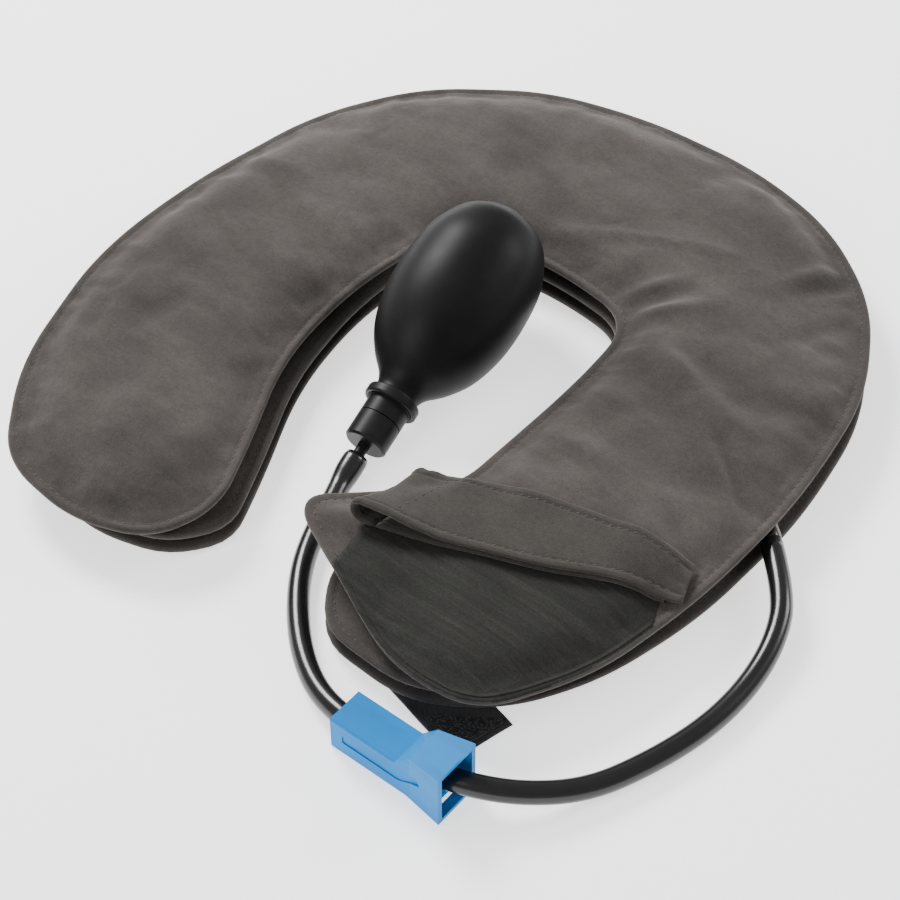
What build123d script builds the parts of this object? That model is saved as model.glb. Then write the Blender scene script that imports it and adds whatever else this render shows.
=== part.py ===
from build123d import *
import os
from math import cos, radians, sin, tan

# Inflatable neck traction collar: three flat velour-covered air layers in a C shape, stacked and
# deflated, with a hand bulb pump in the neck hole and an air hose that runs round the right arm.
# Millimetres, +Z up, the collar's opening towards -Y, the origin on the surface below its middle.

# ---------- driving dimensions ----------

# collar layers
LAYER_NAMES = ("bottom", "middle", "top")
LAYER_HEIGHT = 6.6          # one deflated layer, cover and bladder
LAYER_GAP = 0.3             # between one layer's cover and the next
LAYER_PITCH = LAYER_HEIGHT + LAYER_GAP
PANEL_THICKNESS = 1.1       # velour with its backing
HALF_SPLIT = 0.3            # between the upper and lower panels' rims
HALF_HEIGHT = (LAYER_HEIGHT - HALF_SPLIT) / 2
SEAM_WIDTH = 4.0            # sewn rim outside the bladder
BLADDER_INSET = 4.6
BLADDER_CLEARANCE = 0.3     # below the upper panel
BINDING_WIDTH = 1.2         # tape sewn over the rim
BINDING_HEIGHT = 2.0
STACK_TOP = 3 * LAYER_HEIGHT + 2 * LAYER_GAP

# air ways between the layers
RING_RADIUS = 5.0
RING_BORE = 2.0
RING_PLACES = ((-94, -60), (0, 100), (93, -40))

# hose and its port in the middle layer's rim
HOSE_RADIUS = 4.0
HOSE_BORE = 2.25
PORT_ENTRY = (140, -2.5)
PORT_HEADING = -45
PORT_HEIGHT = LAYER_PITCH + LAYER_HEIGHT / 2
PORT_STEM_RADIUS = 1.6
PORT_STEM_IN = 16.0
PORT_SLEEVE_RADIUS = 3.9
PORT_CONE_START = 4.6       # distances from the entry, along the port
PORT_CONE_END = 9.0
PORT_SLEEVE_END = 11.5
PORT_LEAD = 14.0            # the hose runs straight this far before the port
PORT_SLIT = 0.3             # round the stem where it passes the covers

# pump, measured along its axis from the ring on the bulb's neck
PUMP_RING = (-1.2, -37.2, 14.2)
PUMP_HEADING = 7.5          # the bulb's tail leans this much towards -X
PUMP_TILT = 17.0            # the tail stands this much higher than the valve
BULB_WALL = 1.9
NECK_RADIUS = 8.6
NECK_BORE = 6.2
NECK_START = -2.0
NECK_END = 4.0
BULB_CURVE = ((11, 9), (16.6, 15.5), (22, 25), (25.3, 38), (26, 52), (24.5, 67), (19.3, 79))
BULB_TAIL = 88.0
TAIL_HOLE = 4.0
BARREL_RADIUS = 8.25
COLLAR_END = -8.5           # the fixed part of the valve's barrel ends here
SPIGOT_RADIUS = 5.8
SPIGOT_END = -17.0
VALVE_BORE = 1.5
CHAMBER_RADIUS = 2.6
CHAMBER_START = -4.0
SEAT_START = 3.0
SEAT_BORE = 1.2
PLUG_END = 7.0
BALL_RADIUS = 2.1
OUTLET_BALL_AT = 1.2
KNOB_START = -8.9
KNOB_END = -19.5
KNOB_WALL_START = -17.3
RUNNING = 0.05              # radial clearance of the turning knob
NIPPLE_RADIUS = 2.25
NIPPLE_BORE = 1.2
NIPPLE_END = -29.0
HOSE_START = -24.5
RING_OUTER = 10.5
RING_LENGTH = 4.0
RING_ROUND = 0.9
SEAL_AT = -12.0
SEAL_DEPTH = 1.4
SEAL_GROOVE = 1.8
SEAL_SECTION = 0.7
KNOB_EASE = 0.8
KNOB_HOLE = 2.35
BARB_EASE = 0.5
INLET_START = 79.5
INLET_SEAT = 86.4
INLET_BORE = 1.2
INLET_LIP = 1.8
LIP_LENGTH = 1.0            # the lip that keeps the inlet ball in
INLET_FLANGE = 4.8
INLET_STEP = 0.4
INLET_END = 89.2
INLET_BALL_AT = 84.6

# hook-and-loop straps
STRAP_WIDTH = 32.0          # at its fold
STRAP_TAPER = 0.12         # its width lost per millimetre towards its free end
STRAP_PLACE = (33, -81.5)   # middle of the upper strap's fold
STRAP_HEADING = 19.7
STRAP_LENGTH = 108.0
FOLD_SLANT = 0.4            # the fold's shift along the strap per millimetre across it
STRAP_PLY = 1.2
TAPE_THICKNESS = 1.0
STRAP_SLACK = 0.4           # between the two plies
TAPE_START = 40.0
TAPE_MARGIN = 3.0
BASE_SHORTER = 6.0          # the sewn ply ends before the flap
FLAP_START = 0.6            # the flap's ply starts this far from the fold's hinge line
END_PANEL_THICKNESS = 0.9
END_PANEL = ((4, 11), (101, 8), (96, -60), (-14, -60), (-5, -33), (0, -12))
TAB_WIDTH = 24.0
TAB_END = (113, -127.3)     # middle of the lower strap's free end
TAB_HEADING = -14.5
TAB_FOLD = (-24.0, -4.4)    # where its fold line meets its two long edges
TAB_PLY = 1.4
TAB_LENGTH = 62.0
TAB_FOLD_GAP = 0.8
TAB_TAPE_MARGIN = 2.0
POCKET_MARGIN = 0.5

# hose clamp
CLAMP_START = 75.0
CLAMP_END = 121.5
CLAMP_MIDDLE = -151.8
CLAMP_WALL = 1.6
CLAMP_LOW = 14.6            # height over the narrow stretch
CLAMP_HIGH = 23.5           # height at the mouth
SADDLE_START = 102.0
SADDLE_TOP = 108.0
LIP_RISE = 2.0              # the mouth's top climbs this much from the saddle to its lip
CLAMP_HALF = 7.3
MOUTH_HALF = 9.3
ROLLER_RADIUS = 3.3
ROLLER_HALF = 3.4
NOTCH_COUNT = 14            # grip notches round the roller
NOTCH_RADIUS = 0.45
NOTCH_OUT = 0.25
ROLLER_AT = (114.0, 3.8)
AXLE_RADIUS = 1.1
AXLE_PLAY = 0.2             # between each end of the axle and its groove's floor
GUIDE_RISE = 0.1            # the guide's climb per millimetre of travel
ROLLER_TRAVEL = 24.0
HOLE_SLACK = 0.8
SLOT_SLACK = 1.0
GUIDE_DEPTH = 0.7
GUIDE_SLACK = 0.3
GUIDE_REACH = 1.4           # the grooves go this far past the axle's two end places
CLAMP_ROUND = 0.7
CLAMP_HOSE_HOLE = (-151.5, 7.0)
RECESS_DEPTH = 0.4
RECESS_HALF = 1.6
RECESS_BEND = 2.5
RECESS_LINE = ((80, 7.6), (103, 7.6), (112, 12.5))

# Outlines of the layers, as corners that large arcs round off. All layers share the back and sides.
BACK = [
    (-140, 6), (-130, 67), (-107, 109), (-67.5, 138.5), (-24, 150.2),
    (31, 151.2), (73, 139.7), (108, 113.5), (132.2, 71.5), (141.3, 16),
]
TOP_RIGHT = [
    (140.3, -44), (131, -94), (111, -129.5), (79, -132), (44, -118), (10, -103), (24, -77), (45, -57),
]
TOP_INSIDE = [(46.5, 8), (43, 49), (2, 55), (-41, 50), (-49.5, 4), (-45, -45), (-24, -89)]
TOP_LEFT = [(-11.5, -116), (-21.5, -142), (-50, -152), (-87.5, -147.5), (-118.5, -109.5), (-139.3, -48)]
LOWER_RIGHT = [
    (139, -42), (128.5, -84), (111, -114), (84, -131.5), (50, -127.5), (31, -106), (32, -84), (46, -58),
]
LOWER_INSIDE = [(46.5, 8), (43, 49), (2, 55), (-41, 48), (-47.5, 0), (-39, -46), (-20, -86)]
LOWER_LEFT = [(-7.5, -116), (-21, -135.5), (-50, -144), (-85, -136), (-116, -101), (-138.5, -46)]
LAYER_OUTLINES = {
    "bottom": BACK + LOWER_RIGHT + LOWER_INSIDE + LOWER_LEFT,
    "middle": BACK + LOWER_RIGHT + LOWER_INSIDE + LOWER_LEFT,
    "top": BACK + TOP_RIGHT + TOP_INSIDE + TOP_LEFT,
}


# ---------- frames and helpers ----------

def heading(angle):
    return Vector(cos(radians(angle)), sin(radians(angle)), 0)


def eased_radii(points, closed=False, share=0.45):
    """A radius for each corner, as large as the two runs beside it allow."""
    corners = [Vector(*point) for point in points]
    if closed:
        corners = [corners[-1], *corners, corners[0]]
    radii = []
    for before, corner, after in zip(corners, corners[1:], corners[2:]):
        arriving = corner - before
        leaving = after - corner
        half_turn = radians(arriving.get_angle(leaving)) / 2
        radii.append(share * min(arriving.length, leaving.length) / tan(half_turn))
    return radii


def layer_base(name):
    return LAYER_NAMES.index(name) * LAYER_PITCH


def outline_sketch(name, height, inset=0.0):
    """A layer's C outline at a height, drawn in by an inset."""
    outline = LAYER_OUTLINES[name]
    with BuildSketch(Plane.XY.offset(height)) as sketch:
        with BuildLine():
            FilletPolyline(*outline, radius=eased_radii(outline, closed=True), close=True)
        make_face()
        if inset:
            offset(amount=-inset)
    return sketch.sketch


def finish(part, name, colour):
    part.label = name
    part.color = colour
    export_step(part, f"parts/{name}.step")


port_out = heading(PORT_HEADING)
port_centre = Vector(*PORT_ENTRY, PORT_HEIGHT)
port_plane = Plane(origin=port_centre, x_dir=(0, 0, 1), z_dir=port_out)

pump_tail = Vector(
    -sin(radians(PUMP_HEADING)) * cos(radians(PUMP_TILT)),
    cos(radians(PUMP_HEADING)) * cos(radians(PUMP_TILT)),
    sin(radians(PUMP_TILT)),
)
pump_side = heading(PUMP_HEADING)
# sketches of turned pump pieces: X is the radius, Y runs along the axis
pump_plane = Plane(origin=PUMP_RING, x_dir=pump_side, z_dir=pump_side.cross(pump_tail))
pump_axis = Axis(PUMP_RING, pump_tail)

strap_plane = Plane(
    origin=(*STRAP_PLACE, 0), x_dir=heading(STRAP_HEADING), z_dir=(0, 0, 1)
)
tab_plane = Plane(origin=(*TAB_END, 0), x_dir=heading(TAB_HEADING), z_dir=(0, 0, 1))


def strap_face(start, end, height, margin=0.0):
    """A stretch of the tapering upper strap, its start parallel to the slanting fold."""
    half_start = (STRAP_WIDTH - STRAP_TAPER * start) / 2 - margin
    half_end = (STRAP_WIDTH - STRAP_TAPER * end) / 2 - margin
    slant = FOLD_SLANT * half_start
    with BuildSketch(strap_plane.offset(height)) as sketch:
        with BuildLine():
            Polyline(
                (start - slant, -half_start), (end, -half_end), (end, half_end), (start + slant, half_start),
                close=True,
            )
        make_face()
    return sketch.sketch


def tab_face(height, margin=0.0):
    """The lower strap's part under the collar, from its sewn end to its slanting fold line."""
    half = TAB_WIDTH / 2 + margin
    slope = (TAB_FOLD[1] - TAB_FOLD[0]) / TAB_WIDTH
    with BuildSketch(tab_plane.offset(height)) as sketch:
        with BuildLine():
            Polyline(
                (-TAB_LENGTH - margin, -half),
                (TAB_FOLD[0] - slope * margin, -half),
                (TAB_FOLD[1] + slope * margin, half),
                (-TAB_LENGTH - margin, half),
                close=True,
            )
        make_face()
    return sketch.sketch


def turned(points, mode=Mode.ADD):
    """A piece of the pump turned about its axis from (radius, along) corners."""
    with BuildSketch(pump_plane) as profile:
        with BuildLine():
            Polyline(*points, close=True)
        make_face()
    revolve(profile.sketch, axis=pump_axis, mode=mode)


os.makedirs("parts", exist_ok=True)

VELOUR = Color(0.33, 0.30, 0.28)
BLACK = Color(0.05, 0.05, 0.05)
GREY = Color(0.25, 0.26, 0.25)
BLUE = Color(0.12, 0.55, 0.9)
WHITE = Color(0.85, 0.85, 0.82)
STEEL = Color(0.7, 0.7, 0.72)


# ---------- collar: three layers of lower panel, bladder, upper panel and rim binding ----------

def lower_panel(name):
    """The layer's underside: a flat panel with a rim turned up to the seam."""
    base = layer_base(name)
    has_ring = name != "bottom"
    with BuildPart() as panel:
        add(outline_sketch(name, base))
        extrude(amount=HALF_HEIGHT)
        add(outline_sketch(name, base + PANEL_THICKNESS, SEAM_WIDTH))
        extrude(amount=HALF_HEIGHT, mode=Mode.SUBTRACT)
        if has_ring:
            with BuildSketch(Plane.XY.offset(base)):
                with Locations(*RING_PLACES):
                    Circle(RING_RADIUS)
            extrude(amount=PANEL_THICKNESS, mode=Mode.SUBTRACT)
        if name == "middle":
            with BuildSketch(port_plane.offset(-PORT_STEM_IN)):
                Circle(PORT_STEM_RADIUS + PORT_SLIT)
            extrude(amount=2 * PORT_STEM_IN, mode=Mode.SUBTRACT)
        if name == "bottom":
            # a shallow tunnel on the underside, with its own roof, for the lower strap
            with BuildSketch(Plane.XY.offset(PANEL_THICKNESS)):
                add(tab_face(PANEL_THICKNESS, POCKET_MARGIN + PANEL_THICKNESS))
                add(outline_sketch(name, PANEL_THICKNESS), mode=Mode.INTERSECT)
            extrude(amount=TAB_PLY)
            add(tab_face(0, POCKET_MARGIN))
            extrude(amount=TAB_PLY, mode=Mode.SUBTRACT)
    return panel.part


def upper_panel(name):
    """The layer's top: a flat panel with a rim turned down to the seam."""
    base = layer_base(name) + HALF_HEIGHT + HALF_SPLIT
    has_ring = name != "top"
    with BuildPart() as panel:
        add(outline_sketch(name, base))
        extrude(amount=HALF_HEIGHT)
        add(outline_sketch(name, base, SEAM_WIDTH))
        extrude(amount=HALF_HEIGHT - PANEL_THICKNESS, mode=Mode.SUBTRACT)
        if has_ring:
            with BuildSketch(Plane.XY.offset(base + HALF_HEIGHT - PANEL_THICKNESS)):
                with Locations(*RING_PLACES):
                    Circle(RING_RADIUS)
            extrude(amount=PANEL_THICKNESS, mode=Mode.SUBTRACT)
        if name == "middle":
            with BuildSketch(port_plane.offset(-PORT_STEM_IN)):
                Circle(PORT_STEM_RADIUS + PORT_SLIT)
            extrude(amount=2 * PORT_STEM_IN, mode=Mode.SUBTRACT)
    return panel.part


def bladder(name):
    """The flattened air bladder inside a layer."""
    base = layer_base(name) + PANEL_THICKNESS
    height = LAYER_HEIGHT - 2 * PANEL_THICKNESS - BLADDER_CLEARANCE
    with BuildPart() as body:
        add(outline_sketch(name, base, BLADDER_INSET))
        extrude(amount=height)
        if name == "middle":
            with BuildSketch(port_plane.offset(-PORT_STEM_IN)):
                Circle(PORT_STEM_RADIUS)
            extrude(amount=PORT_STEM_IN, mode=Mode.SUBTRACT)
        if name == "bottom":
            add(tab_face(base, POCKET_MARGIN + PANEL_THICKNESS + BLADDER_CLEARANCE))
            extrude(amount=TAB_PLY + BLADDER_CLEARANCE, mode=Mode.SUBTRACT)
    return body.part


def rim_binding(name):
    """The tape sewn over the two panels' rims, all the way round a layer."""
    base = layer_base(name) + (LAYER_HEIGHT - BINDING_HEIGHT) / 2
    with BuildPart() as tape:
        add(outline_sketch(name, base, -BINDING_WIDTH))
        extrude(amount=BINDING_HEIGHT)
        add(outline_sketch(name, base))
        extrude(amount=BINDING_HEIGHT, mode=Mode.SUBTRACT)
        if name == "middle":
            with BuildSketch(port_plane.offset(-PORT_STEM_IN)):
                Circle(PORT_STEM_RADIUS + PORT_SLIT)
            extrude(amount=2 * PORT_STEM_IN, mode=Mode.SUBTRACT)
    return tape.part


for layer in LAYER_NAMES:
    finish(lower_panel(layer), f"{layer}_lower_panel", VELOUR)
    finish(bladder(layer), f"{layer}_bladder", WHITE)
    finish(upper_panel(layer), f"{layer}_upper_panel", VELOUR)
    finish(rim_binding(layer), f"{layer}_rim_binding", VELOUR)


# ---------- air rings that join each layer to the next ----------

for level, name in enumerate(("lower_air_rings", "upper_air_rings"), start=1):
    seat = level * LAYER_PITCH - LAYER_GAP - PANEL_THICKNESS
    with BuildPart() as air_rings:
        with BuildSketch(Plane.XY.offset(seat)):
            with Locations(*RING_PLACES):
                Circle(RING_RADIUS)
                Circle(RING_BORE, mode=Mode.SUBTRACT)
        extrude(amount=2 * PANEL_THICKNESS + LAYER_GAP)
    finish(air_rings.part, name, BLACK)


# ---------- hose port ----------

with BuildPart() as hose_port:
    with BuildSketch(port_plane.offset(-PORT_STEM_IN)):
        Circle(PORT_STEM_RADIUS)
    extrude(amount=PORT_STEM_IN + PORT_CONE_START)
    # a cone that grows from the stem to the hose's size
    with BuildSketch(port_plane.offset(PORT_CONE_START)):
        Circle(PORT_STEM_RADIUS)
    with BuildSketch(port_plane.offset(PORT_CONE_END)):
        Circle(PORT_SLEEVE_RADIUS)
    loft()
    with BuildSketch(port_plane.offset(PORT_CONE_END)):
        Circle(PORT_SLEEVE_RADIUS)
    extrude(amount=PORT_SLEEVE_END - PORT_CONE_END)
    with BuildSketch(port_plane.offset(-PORT_STEM_IN)):
        Circle(PORT_STEM_RADIUS / 2)
    extrude(amount=PORT_STEM_IN + PORT_SLEEVE_END, mode=Mode.SUBTRACT)
finish(hose_port.part, "hose_port", BLACK)


# ---------- hose: along the surface, round the right arm, through the clamp, up to the port ----------

hose_start = Vector(*PUMP_RING) + pump_tail * HOSE_START
touch_down = hose_start - pump_tail * ((hose_start.Z - HOSE_RADIUS) / pump_tail.Z)
hose_end = port_centre + port_out * PORT_SLEEVE_END
hose_route = [
    tuple(hose_start),
    tuple(touch_down),
    (8.0, -82.5, 4.0),
    (12.8, -97.5, 4.0),
    (20.5, -112.5, 4.0),
    (32.0, -127.0, 4.0),
    (45.5, -139.5, 4.0),
    (60.5, -148.3, 4.8),
    (78.0, -152.2, 7.4),
    (100.5, -153.2, 8.2),
    (120.5, -150.8, 11.0),
    (138.0, -141.0, 9.4),
    (152.0, -123.5, 4.8),
    (161.0, -101.5, 4.0),
    (167.0, -79.0, 4.0),
    (168.3, -57.0, 4.4),
    (165.6, -37.0, 7.0),
    tuple(hose_end + port_out * PORT_LEAD),
    tuple(hose_end),
]
hose_radii = eased_radii(hose_route)
print("hose bend radii", [round(radius) for radius in hose_radii])

with BuildPart() as air_hose:
    with BuildLine():
        hose_path = FilletPolyline(*hose_route, radius=hose_radii)
    with BuildSketch(Plane(origin=hose_start, z_dir=-pump_tail)):
        Circle(HOSE_RADIUS)
        Circle(HOSE_BORE, mode=Mode.SUBTRACT)
    sweep(path=hose_path)
hose_section = air_hose.part.volume / hose_path.length
print("hose length", round(hose_path.length, 1), "volume over length", round(hose_section, 3))
finish(air_hose.part, "air_hose", BLACK)


# ---------- pump: bulb, neck ring, valve, knob, nipple ----------

def bulb_profile(inset):
    """The bulb's curve from the neck to the tail hole, drawn in by the wall's thickness."""
    points = [(NECK_RADIUS - inset, NECK_END)]
    points += [(radius - inset, along) for radius, along in BULB_CURVE]
    points.append((TAIL_HOLE, BULB_TAIL - inset))
    return points


with BuildPart() as bulb:
    with BuildSketch(pump_plane):
        with BuildLine():
            outside = Spline(*bulb_profile(0), tangents=[(0, 1), (-1, 0.12)])
            inside = Spline(
                (NECK_BORE, NECK_END), *bulb_profile(BULB_WALL)[1:], tangents=[(0, 1), (-1, 0.12)]
            )
            Line(outside @ 1, inside @ 1)
            Polyline(
                outside @ 0, (NECK_RADIUS, NECK_START), (NECK_BORE, NECK_START), inside @ 0
            )
        make_face()
    revolve(axis=pump_axis)
finish(bulb.part, "bulb", BLACK)


with BuildPart() as neck_ring:
    with BuildSketch(pump_plane):
        with Locations(((NECK_RADIUS + RING_OUTER) / 2, 0)):
            RectangleRounded(RING_OUTER - NECK_RADIUS, RING_LENGTH, RING_ROUND)
    revolve(axis=pump_axis)
finish(neck_ring.part, "bulb_neck_ring", BLACK)

with BuildPart() as valve_body:
    turned([
        (0, SPIGOT_END), (SPIGOT_RADIUS, SPIGOT_END), (SPIGOT_RADIUS, COLLAR_END),
        (BARREL_RADIUS, COLLAR_END), (BARREL_RADIUS, NECK_START), (NECK_BORE, NECK_START),
        (NECK_BORE, PLUG_END), (0, PLUG_END),
    ])
    turned([
        (0, SPIGOT_END), (VALVE_BORE, SPIGOT_END), (VALVE_BORE, CHAMBER_START),
        (CHAMBER_RADIUS, CHAMBER_START), (CHAMBER_RADIUS, SEAT_START),
        (SEAT_BORE, SEAT_START), (SEAT_BORE, PLUG_END), (0, PLUG_END),
    ], mode=Mode.SUBTRACT)
    with BuildSketch(pump_plane):
        with Locations((SPIGOT_RADIUS, SEAL_AT)):
            Rectangle(2 * SEAL_DEPTH, SEAL_GROOVE)
    revolve(axis=pump_axis, mode=Mode.SUBTRACT)
finish(valve_body.part, "valve_body", BLACK)

with BuildPart() as valve_seal:
    with BuildSketch(pump_plane):
        with Locations((SPIGOT_RADIUS - SEAL_DEPTH + SEAL_SECTION, SEAL_AT)):
            Circle(SEAL_SECTION)
    revolve(axis=pump_axis)
finish(valve_seal.part, "valve_seal", GREY)

with BuildPart() as release_knob:
    turned([
        (SPIGOT_RADIUS + RUNNING, KNOB_START), (BARREL_RADIUS, KNOB_START),
        (BARREL_RADIUS, KNOB_END + KNOB_EASE), (BARREL_RADIUS - KNOB_EASE, KNOB_END),
        (KNOB_HOLE, KNOB_END), (KNOB_HOLE, KNOB_WALL_START),
        (SPIGOT_RADIUS + RUNNING, KNOB_WALL_START),
    ])
finish(release_knob.part, "release_knob", BLACK)

with BuildPart() as nipple:
    turned([
        (NIPPLE_BORE, NIPPLE_END), (NIPPLE_RADIUS - BARB_EASE, NIPPLE_END),
        (NIPPLE_RADIUS, NIPPLE_END + 2 * BARB_EASE), (NIPPLE_RADIUS, SPIGOT_END),
        (NIPPLE_BORE, SPIGOT_END),
    ])
finish(nipple.part, "hose_nipple", BLACK)


def check_ball(along):
    """A valve ball on the pump's axis."""
    with BuildPart(Plane(origin=Vector(*PUMP_RING) + pump_tail * along)) as ball:
        Sphere(BALL_RADIUS)
    return ball.part


finish(check_ball(OUTLET_BALL_AT), "outlet_check_ball", STEEL)

with BuildPart() as inlet_valve:
    turned([
        (INLET_BORE, INLET_END), (INLET_FLANGE, INLET_END),
        (INLET_FLANGE, BULB_TAIL + INLET_STEP), (TAIL_HOLE, BULB_TAIL), (TAIL_HOLE, INLET_START),
        (INLET_LIP, INLET_START), (INLET_LIP, INLET_START + LIP_LENGTH),
        (CHAMBER_RADIUS, INLET_START + LIP_LENGTH), (CHAMBER_RADIUS, INLET_SEAT),
        (INLET_BORE, INLET_SEAT),
    ])
finish(inlet_valve.part, "inlet_valve", BLACK)

finish(check_ball(INLET_BALL_AT), "inlet_check_ball", STEEL)


# ---------- upper closure strap over the right arm ----------

with BuildPart() as end_panel:
    with BuildSketch(Plane.XY.offset(STACK_TOP)):
        add(outline_sketch("top", STACK_TOP, SEAM_WIDTH))
        with BuildLine():
            Polyline(*[strap_plane.from_local_coords(point) for point in END_PANEL], close=True)
        make_face(mode=Mode.INTERSECT)
    extrude(amount=END_PANEL_THICKNESS)
finish(end_panel.part, "loop_end_panel", GREY)

strap_floor = STACK_TOP + END_PANEL_THICKNESS

with BuildPart() as strap_base:
    add(strap_face(0, STRAP_LENGTH - BASE_SHORTER, strap_floor))
    extrude(amount=STRAP_PLY)
finish(strap_base.part, "upper_strap_base", VELOUR)

tape_floor = strap_floor + STRAP_PLY + STRAP_SLACK

with BuildPart() as hook_tape:
    add(strap_face(TAPE_START, STRAP_LENGTH - TAPE_MARGIN, tape_floor, TAPE_MARGIN))
    extrude(amount=TAPE_THICKNESS)
finish(hook_tape.part, "upper_strap_hook_tape", BLACK)

with BuildPart() as strap_flap:
    add(strap_face(FLAP_START, STRAP_LENGTH, tape_floor + TAPE_THICKNESS))
    extrude(amount=STRAP_PLY)
finish(strap_flap.part, "upper_strap_flap", VELOUR)


# ---------- lower closure strap, under the right arm ----------

with BuildPart() as lower_strap_base:
    add(tab_face(0))
    extrude(amount=TAB_PLY)
finish(lower_strap_base.part, "lower_strap_base", GREY)

tab_slope = (TAB_FOLD[1] - TAB_FOLD[0]) / TAB_WIDTH


def tab_end_face(height, margin=0.0):
    """The lower strap's free end, beyond its fold line."""
    half = TAB_WIDTH / 2 - margin
    with BuildSketch(tab_plane.offset(height)) as sketch:
        with BuildLine():
            Polyline(
                (TAB_FOLD[0] + TAB_FOLD_GAP + (1 + tab_slope) * margin, -half),
                (-margin, -half),
                (-margin, half),
                (TAB_FOLD[1] + TAB_FOLD_GAP + (1 - tab_slope) * margin, half),
                close=True,
            )
        make_face()
    return sketch.sketch


with BuildPart() as lower_strap_tab:
    add(tab_end_face(0))
    extrude(amount=TAB_PLY)
finish(lower_strap_tab.part, "lower_strap_tab", GREY)

with BuildPart() as lower_hook_tape:
    add(tab_end_face(TAB_PLY, TAB_TAPE_MARGIN))
    extrude(amount=TAPE_THICKNESS)
finish(lower_hook_tape.part, "lower_strap_hook_tape", BLACK)


# ---------- hose clamp: housing, roller and axle ----------

clamp_side = Plane(origin=(0, CLAMP_MIDDLE, 0), x_dir=(1, 0, 0), z_dir=(0, -1, 0))


def clamp_volume(wall, start, end):
    """The clamp's outer shape with a wall's thickness taken off: a long box with a raised mouth."""
    low = CLAMP_LOW - wall
    high = CLAMP_HIGH - wall
    with BuildPart() as volume:
        with BuildSketch(clamp_side):
            with BuildLine():
                Polyline(
                    (start, wall), (end, wall), (end, high), (SADDLE_TOP + wall / 2, high - LIP_RISE),
                    (SADDLE_START + wall / 2, low), (start, low),
                    close=True,
                )
            make_face()
        extrude(amount=MOUTH_HALF, both=True)
        with BuildSketch():
            with BuildLine():
                Polyline(
                    (start, CLAMP_MIDDLE - CLAMP_HALF + wall),
                    (SADDLE_TOP, CLAMP_MIDDLE - CLAMP_HALF + wall),
                    (end, CLAMP_MIDDLE - MOUTH_HALF + wall),
                    (end, CLAMP_MIDDLE + MOUTH_HALF - wall),
                    (SADDLE_TOP, CLAMP_MIDDLE + CLAMP_HALF - wall),
                    (start, CLAMP_MIDDLE + CLAMP_HALF - wall),
                    close=True,
                )
            make_face()
        extrude(amount=CLAMP_HIGH, mode=Mode.INTERSECT)
    return volume.part


def on_guide(travel):
    """Where the roller's middle is when it has moved this far from the mouth."""
    x, z = ROLLER_AT
    return x - travel, z + GUIDE_RISE * travel


with BuildPart() as clamp_housing:
    add(clamp_volume(0, CLAMP_START, CLAMP_END))
    long_edges = clamp_housing.edges().filter_by(Axis.X)
    fillet(long_edges, CLAMP_ROUND)
    add(clamp_volume(CLAMP_WALL, CLAMP_START + CLAMP_WALL, CLAMP_END + CLAMP_WALL), mode=Mode.SUBTRACT)
    # hole for the hose in the end wall
    with BuildSketch(Plane(origin=(CLAMP_START, *CLAMP_HOSE_HOLE), z_dir=(1, 0, 0))):
        Circle(HOSE_RADIUS + HOLE_SLACK)
    extrude(amount=CLAMP_WALL, mode=Mode.SUBTRACT)
    # thumb slot in the wall under the roller
    with BuildSketch(Plane.XY):
        with Locations((ROLLER_AT[0] - ROLLER_TRAVEL / 2, CLAMP_MIDDLE)):
            Rectangle(ROLLER_TRAVEL + 2 * ROLLER_RADIUS + SLOT_SLACK, 2 * ROLLER_HALF + SLOT_SLACK)
    extrude(amount=CLAMP_WALL, mode=Mode.SUBTRACT)
    # guide grooves for the axle's ends, inside both side walls
    with BuildSketch(clamp_side):
        with BuildLine():
            Line(on_guide(-GUIDE_REACH), on_guide(ROLLER_TRAVEL + GUIDE_REACH))
        trace(line_width=2 * AXLE_RADIUS + GUIDE_SLACK)
    extrude(amount=CLAMP_HALF - CLAMP_WALL + GUIDE_DEPTH, both=True, mode=Mode.SUBTRACT)
    # shallow recess along the outside of both side walls
    for side in (-1, 1):
        face = clamp_side.offset(side * (CLAMP_HALF - RECESS_DEPTH))
        with BuildSketch(face):
            with BuildLine():
                FilletPolyline(*RECESS_LINE, radius=RECESS_BEND)
            trace(line_width=2 * RECESS_HALF)
        extrude(amount=side * MOUTH_HALF, mode=Mode.SUBTRACT)
finish(clamp_housing.part, "clamp_housing", BLUE)

roller_centre = (ROLLER_AT[0], CLAMP_MIDDLE, ROLLER_AT[1])
roller_plane = Plane(origin=roller_centre, x_dir=(1, 0, 0), z_dir=(0, -1, 0))

with BuildPart() as clamp_roller:
    with BuildSketch(roller_plane):
        Circle(ROLLER_RADIUS)
        with PolarLocations(ROLLER_RADIUS + NOTCH_OUT, NOTCH_COUNT):
            Circle(NOTCH_RADIUS, mode=Mode.SUBTRACT)
        Circle(AXLE_RADIUS + RUNNING, mode=Mode.SUBTRACT)
    extrude(amount=ROLLER_HALF, both=True)
finish(clamp_roller.part, "clamp_roller", BLUE)

with BuildPart() as clamp_axle:
    with BuildSketch(roller_plane):
        Circle(AXLE_RADIUS)
    extrude(amount=CLAMP_HALF - CLAMP_WALL + GUIDE_DEPTH - AXLE_PLAY, both=True)
finish(clamp_axle.part, "clamp_roller_axle", BLUE)
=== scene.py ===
import math

import bmesh
import bpy
import numpy as np
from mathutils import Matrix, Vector, noise


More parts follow.
